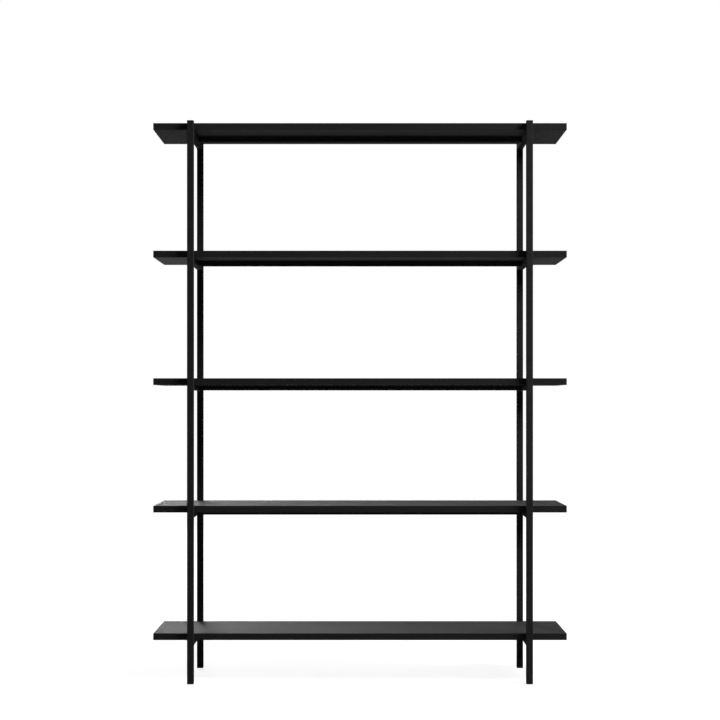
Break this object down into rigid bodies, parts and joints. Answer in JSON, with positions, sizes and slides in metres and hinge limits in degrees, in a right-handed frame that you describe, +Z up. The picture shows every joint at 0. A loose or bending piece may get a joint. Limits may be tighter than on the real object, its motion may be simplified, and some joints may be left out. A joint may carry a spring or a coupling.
{
  "type": "bookcase",
  "caption": "Tall open bookcase: long flat boards between slim square posts, on cross bars and centre rails, with screw-in levelling feet.",
  "frame": {"origin": "on the floor, under the middle of the bookcase", "axes": "+X to the right seen from the front, +Y to the back, +Z up"},
  "size_m": [1.6, 0.371, 2.173],
  "materials": {
    "board_black": "satin",
    "frame_powder_coat": "matte",
    "end_plug_plastic": "matte",
    "foot_plastic": "matte",
    "bright_steel": "satin",
    "black_fastener": "satin",
    "sleeve_brass": "satin"
  },
  "bodies": {
    "bookcase": {"shelf_board_1": "board_black", "shelf_board_2": "board_black", "shelf_board_3": "board_black", "shelf_board_4": "board_black", "shelf_board_5": "board_black", "front_left_post": "frame_powder_coat", "front_right_post": "frame_powder_coat", "rear_left_post": "frame_powder_coat", "rear_right_post": "frame_powder_coat", "left_cross_bar_1": "frame_powder_coat", "right_cross_bar_1": "frame_powder_coat", "left_cross_bar_2": "frame_powder_coat", "right_cross_bar_2": "frame_powder_coat", "left_cross_bar_3": "frame_powder_coat", "right_cross_bar_3": "frame_powder_coat", "left_cross_bar_4": "frame_powder_coat", "right_cross_bar_4": "frame_powder_coat", "left_cross_bar_5": "frame_powder_coat", "right_cross_bar_5": "frame_powder_coat", "centre_rail_1": "frame_powder_coat", "centre_rail_2": "frame_powder_coat", "centre_rail_3": "frame_powder_coat", "centre_rail_4": "frame_powder_coat", "centre_rail_5": "frame_powder_coat", "front_left_post_cap": "end_plug_plastic", "front_right_post_cap": "end_plug_plastic", "rear_left_post_cap": "end_plug_plastic", "rear_right_post_cap": "end_plug_plastic", "front_left_foot_insert": "end_plug_plastic", "front_right_foot_insert": "end_plug_plastic", "rear_left_foot_insert": "end_plug_plastic", "rear_right_foot_insert": "end_plug_plastic", "rail_end_plugs": "bright_steel", "rail_bolts": "black_fastener", "rail_washers": "black_fastener", "board_screws": "black_fastener", "board_sleeves": "sleeve_brass"},
    "front_left_foot": {"front_left_foot_pad": "foot_plastic", "front_left_foot_stud": "bright_steel"},
    "front_right_foot": {"front_right_foot_pad": "foot_plastic", "front_right_foot_stud": "bright_steel"},
    "rear_left_foot": {"rear_left_foot_pad": "foot_plastic", "rear_left_foot_stud": "bright_steel"},
    "rear_right_foot": {"rear_right_foot_pad": "foot_plastic", "rear_right_foot_stud": "bright_steel"}
  },
  "joints": [
    {"name": "front_left_foot_screw", "type": "slide", "parent": "bookcase", "child": "front_left_foot", "axis": [0, 0, -1], "range_m": [0, 0.01]},
    {"name": "front_right_foot_screw", "type": "slide", "parent": "bookcase", "child": "front_right_foot", "axis": [0, 0, -1], "range_m": [0, 0.01]},
    {"name": "rear_left_foot_screw", "type": "slide", "parent": "bookcase", "child": "rear_left_foot", "axis": [0, 0, -1], "range_m": [0, 0.01]},
    {"name": "rear_right_foot_screw", "type": "slide", "parent": "bookcase", "child": "rear_right_foot", "axis": [0, 0, -1], "range_m": [0, 0.01]}
  ]
}
